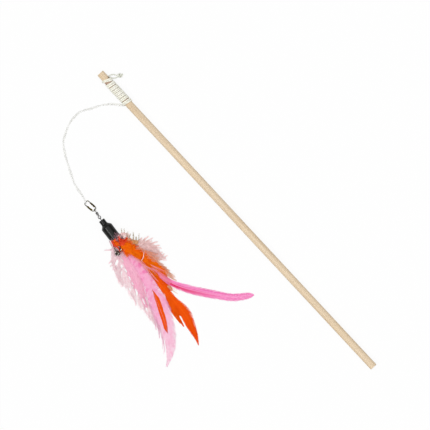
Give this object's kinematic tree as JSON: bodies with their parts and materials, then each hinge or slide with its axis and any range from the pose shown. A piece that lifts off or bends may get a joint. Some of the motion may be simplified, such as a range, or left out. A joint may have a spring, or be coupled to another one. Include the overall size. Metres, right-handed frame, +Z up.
{
  "type": "cat teaser wand",
  "caption": "Hand-held wooden wand with a doubled cord, a spring snap, a barrel swivel and a feather lure with jingle bells, for play with a cat.",
  "frame": {"origin": "centre of the dowel's flat butt face", "axes": "+X along the dowel towards its tip, +Z up from the surface on which the wand lies, +Y towards the lure"},
  "size_m": [0.42, 0.1763, 0.0125],
  "materials": {
    "wood": "fine sanded, unfinished pale wood",
    "cord": "smooth elastic cord, off-white",
    "brass": "dull brass plate",
    "steel": "satin nickel",
    "cap": "soft gloss black",
    "glue": "set hot glue",
    "thread": "dark sewing thread",
    "bell": "nickel plate",
    "pale_pink_plume": "dyed feather, downy marabou barbs",
    "mid_pink_feather": "dyed feather, close soft barbs with a fine shaft",
    "hot_pink_feather": "dyed feather, close soft barbs with a fine shaft",
    "wide_orange_feather": "dyed feather, close soft barbs with a fine shaft",
    "narrow_orange_feather": "dyed feather, close soft barbs with a fine shaft",
    "orange_plume": "dyed feather, downy marabou barbs",
    "dusty_pink_plume": "dyed feather, downy marabou barbs"
  },
  "bodies": {
    "dowel_and_cord": {"dowel": "wood", "tail_strand_a": "cord", "tail_strand_b": "cord", "end_knot": "cord", "winding_strand_a": "cord", "winding_strand_b": "cord", "line_strand_a": "cord", "line_strand_b": "cord", "line_bight": "cord"},
    "snap": {"snap_wire": "brass", "snap_clasp": "brass"},
    "snap_gate": {"snap_gate": "brass"},
    "swivel_upper_eye": {"swivel_upper_eye": "steel"},
    "swivel_barrel": {"swivel_barrel": "steel"},
    "swivel_lower_eye": {"swivel_lower_eye": "steel"},
    "lure": {"cap_eye": "steel", "lure_cap": "cap", "glue_plug": "glue", "bell_1_thread": "thread", "bell_2_thread": "thread", "pale_pink_plume": "pale_pink_plume", "mid_pink_feather": "mid_pink_feather", "hot_pink_feather": "hot_pink_feather", "wide_orange_feather": "wide_orange_feather", "narrow_orange_feather": "narrow_orange_feather", "orange_plume": "orange_plume", "dusty_pink_plume": "dusty_pink_plume"},
    "bell_1": {"bell_1_top": "bell", "bell_1_bottom": "bell"},
    "bell_1_pellet": {"bell_1_pellet": "bell"},
    "bell_2": {"bell_2_top": "bell", "bell_2_bottom": "bell"},
    "bell_2_pellet": {"bell_2_pellet": "bell"}
  },
  "joints": [
    {"name": "snap_swing", "type": "hinge", "parent": "dowel_and_cord", "child": "snap", "pos_m": [0.33132, 0.10296, -0.00349], "axis": [0.1132, -0.9936, 0], "range_deg": [-90, 90]},
    {"name": "snap_gate_open", "type": "hinge", "parent": "snap", "child": "snap_gate", "pos_m": [0.32943, 0.10536, -0.00349], "axis": [0, 0, 1], "range_deg": [0, 20], "stiffness_Nm_per_rad": 0.0005},
    {"name": "swivel_on_snap", "type": "hinge", "parent": "snap", "child": "swivel_upper_eye", "pos_m": [0.31899, 0.10156, -0.00349], "axis": [0.1132, -0.9936, 0], "range_deg": [-70, 70]},
    {"name": "barrel_spin", "type": "hinge", "parent": "swivel_upper_eye", "child": "swivel_barrel", "pos_m": [0.31615, 0.10211, -0.00226], "axis": [-0.9037, 0.1757, 0.3904], "continuous": true},
    {"name": "lower_eye_spin", "type": "hinge", "parent": "swivel_barrel", "child": "swivel_lower_eye", "pos_m": [0.31615, 0.10211, -0.00226], "axis": [-0.9037, 0.1757, 0.3904], "continuous": true},
    {"name": "lure_on_swivel", "type": "hinge", "parent": "swivel_lower_eye", "child": "lure", "pos_m": [0.30856, 0.10359, 0.00102], "axis": [-0.1908, -0.9816, 0], "range_deg": [-70, 70]},
    {"name": "bell_1_swing", "type": "hinge", "parent": "lure", "child": "bell_1", "pos_m": [0.27355, 0.11474, -0.00058], "axis": [0.0958, 0.9954, 0], "range_deg": [-6, 90]},
    {"name": "bell_1_pellet_roll", "type": "hinge", "parent": "bell_1", "child": "bell_1_pellet", "pos_m": [0.26941, 0.11514, -0.00058], "axis": [-0.9954, 0.0958, 0], "continuous": true},
    {"name": "bell_2_swing", "type": "hinge", "parent": "lure", "child": "bell_2", "pos_m": [0.27391, 0.10858, -0.00058], "axis": [0.0958, 0.9954, 0], "range_deg": [-6, 28]},
    {"name": "bell_2_pellet_roll", "type": "hinge", "parent": "bell_2", "child": "bell_2_pellet", "pos_m": [0.26978, 0.10898, -0.00058], "axis": [-0.9954, 0.0958, 0], "continuous": true}
  ]
}
